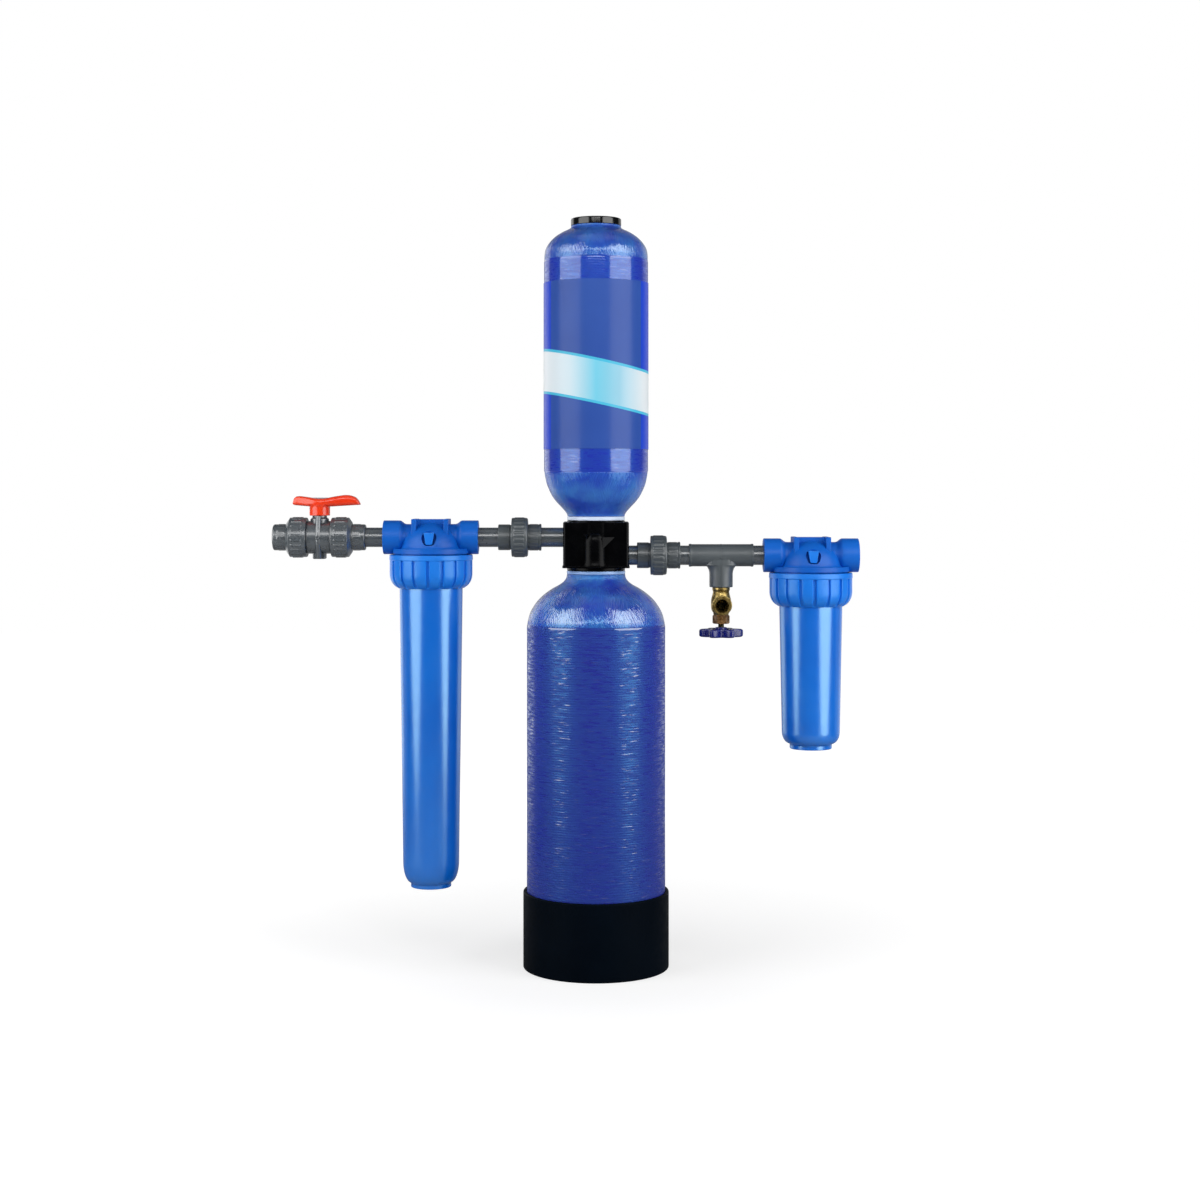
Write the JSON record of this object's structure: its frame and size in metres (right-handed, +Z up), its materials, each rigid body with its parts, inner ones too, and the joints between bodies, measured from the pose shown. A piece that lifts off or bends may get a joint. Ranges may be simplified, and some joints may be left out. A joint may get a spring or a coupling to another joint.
{
  "type": "whole house water filter",
  "caption": "Stacked twin-tank water filter on a boot, with a ball valve and long prefilter on its inlet and a drain valve and short postfilter on its outlet.",
  "frame": {"origin": "centre of the boot's underside, on the floor", "axes": "+Z up the tanks' shared axis, +X along the pipes from inlet to outlet, front to -Y"},
  "size_m": [0.8883, 0.221, 1.1356],
  "materials": {
    "boot": "moulded, satin black",
    "tank_fibreglass": "wound glass fibre under clear blue resin",
    "filter_media": "wet granular carbon bed",
    "inner_plastic": "white moulded plastic",
    "pale_ring": "smooth",
    "black_plastic": "moulded, glossy black",
    "label_film": "printed film",
    "grey_pvc": "moulded grey PVC, satin",
    "red_plastic": "moulded orange-red, satin",
    "head_blue": "moulded blue, fine satin",
    "nut_blue": "moulded light blue, satin",
    "bowl_blue": "moulded mid blue, glossy",
    "rubber_seal": "black rubber",
    "cartridge_felt": "spun white fibre",
    "aged_brass": "cast, slightly tarnished",
    "wheel_paint": "navy enamel on a cast wheel",
    "screw_steel": "plain"
  },
  "bodies": {
    "root": {"base_boot": "boot", "lower_tank": "tank_fibreglass", "upper_tank": "tank_fibreglass", "lower_media": "filter_media", "upper_media": "filter_media", "lower_strainer": "inner_plastic", "upper_strainer": "inner_plastic", "lower_riser": "inner_plastic", "upper_riser": "inner_plastic", "valve_seat_left": "inner_plastic", "valve_seat_right": "inner_plastic", "lower_gasket": "pale_ring", "upper_gasket": "pale_ring", "manifold": "black_plastic", "top_cap": "black_plastic", "tank_label": "label_film", "valve_body": "grey_pvc", "valve_end_left": "grey_pvc", "valve_end_right": "grey_pvc", "pipe_valve_to_prefilter": "grey_pvc", "pipe_prefilter_to_union": "grey_pvc", "pipe_union_to_manifold": "grey_pvc", "pipe_manifold_to_union": "grey_pvc", "pipe_union_to_tee": "grey_pvc", "pipe_tee_to_postfilter": "grey_pvc", "left_union_threaded_hub": "grey_pvc", "left_union_tail_hub": "grey_pvc", "right_union_threaded_hub": "grey_pvc", "right_union_tail_hub": "grey_pvc", "tee": "grey_pvc", "prefilter_head": "head_blue", "postfilter_head": "head_blue", "left_union_o_ring": "rubber_seal", "right_union_o_ring": "rubber_seal", "drain_body": "aged_brass", "drain_packing_nut": "aged_brass"},
    "valve_handle": {"valve_handle": "red_plastic", "valve_stem": "grey_pvc", "valve_ball": "grey_pvc"},
    "valve_nut_left": {"valve_nut_left": "grey_pvc"},
    "valve_nut_right": {"valve_nut_right": "grey_pvc"},
    "left_union_nut": {"left_union_nut": "grey_pvc"},
    "right_union_nut": {"right_union_nut": "grey_pvc"},
    "prefilter_bowl": {"prefilter_bowl": "bowl_blue", "prefilter_o_ring": "rubber_seal", "prefilter_cartridge_core": "inner_plastic", "prefilter_cartridge_media": "cartridge_felt"},
    "prefilter_ring_nut": {"prefilter_ring_nut": "nut_blue"},
    "prefilter_button": {"prefilter_button": "head_blue"},
    "postfilter_bowl": {"postfilter_bowl": "bowl_blue", "postfilter_o_ring": "rubber_seal", "postfilter_cartridge_core": "inner_plastic", "postfilter_cartridge_media": "cartridge_felt"},
    "postfilter_ring_nut": {"postfilter_ring_nut": "nut_blue"},
    "postfilter_button": {"postfilter_button": "head_blue"},
    "drain_washer": {"drain_washer": "rubber_seal"},
    "drain_wheel": {"drain_wheel": "wheel_paint", "drain_stem": "aged_brass", "drain_wheel_screw": "screw_steel"}
  },
  "joints": [
    {"name": "valve_handle_turn", "type": "hinge", "parent": "root", "child": "valve_handle", "pos_m": [-0.42, 0, 0.6516], "axis": [0, 0, -1], "range_deg": [0, 90]},
    {"name": "valve_nut_left_turn", "type": "hinge", "parent": "root", "child": "valve_nut_left", "pos_m": [-0.42, 0, 0.6516], "axis": [1, 0, 0], "range_deg": [0, 1080]},
    {"name": "valve_nut_right_turn", "type": "hinge", "parent": "root", "child": "valve_nut_right", "pos_m": [-0.42, 0, 0.6516], "axis": [1, 0, 0], "range_deg": [0, 1080]},
    {"name": "left_union_nut_turn", "type": "hinge", "parent": "root", "child": "left_union_nut", "pos_m": [-0.1158, 0, 0.6516], "axis": [1, 0, 0], "range_deg": [0, 1080]},
    {"name": "right_union_nut_turn", "type": "hinge", "parent": "root", "child": "right_union_nut", "pos_m": [0.095, 0, 0.6243], "axis": [1, 0, 0], "range_deg": [0, 1080]},
    {"name": "prefilter_bowl_drop", "type": "slide", "parent": "root", "child": "prefilter_bowl", "axis": [0, 0, -1], "range_m": [0, 0.024]},
    {"name": "prefilter_ring_nut_turn", "type": "hinge", "parent": "prefilter_bowl", "child": "prefilter_ring_nut", "pos_m": [-0.2506, 0, 0.6516], "axis": [0, 0, -1], "range_deg": [0, 1440]},
    {"name": "prefilter_button_press", "type": "slide", "parent": "root", "child": "prefilter_button", "axis": [0, 1, 0], "range_m": [0, 0.003], "stiffness_N_per_m": 300},
    {"name": "postfilter_bowl_drop", "type": "slide", "parent": "root", "child": "postfilter_bowl", "axis": [0, 0, -1], "range_m": [0, 0.024]},
    {"name": "postfilter_ring_nut_turn", "type": "hinge", "parent": "postfilter_bowl", "child": "postfilter_ring_nut", "pos_m": [0.3263, 0, 0.6243], "axis": [0, 0, -1], "range_deg": [0, 1440]},
    {"name": "postfilter_button_press", "type": "slide", "parent": "root", "child": "postfilter_button", "axis": [0, 1, 0], "range_m": [0, 0.003], "stiffness_N_per_m": 300},
    {"name": "drain_washer_lift", "type": "slide", "parent": "root", "child": "drain_washer", "axis": [0, 0, -1], "range_m": [0, 0.0045]},
    {"name": "drain_wheel_turn", "type": "hinge", "parent": "drain_washer", "child": "drain_wheel", "pos_m": [0.19, 0, 0.54], "axis": [0, 0, -1], "range_deg": [0, 1080]}
  ],
  "couplings": [
    {"joint": "prefilter_bowl_drop", "follows": "prefilter_ring_nut_turn", "m_per_rad": 0.000954},
    {"joint": "postfilter_bowl_drop", "follows": "postfilter_ring_nut_turn", "m_per_rad": 0.000954},
    {"joint": "drain_washer_lift", "follows": "drain_wheel_turn", "m_per_rad": 0.000238}
  ]
}
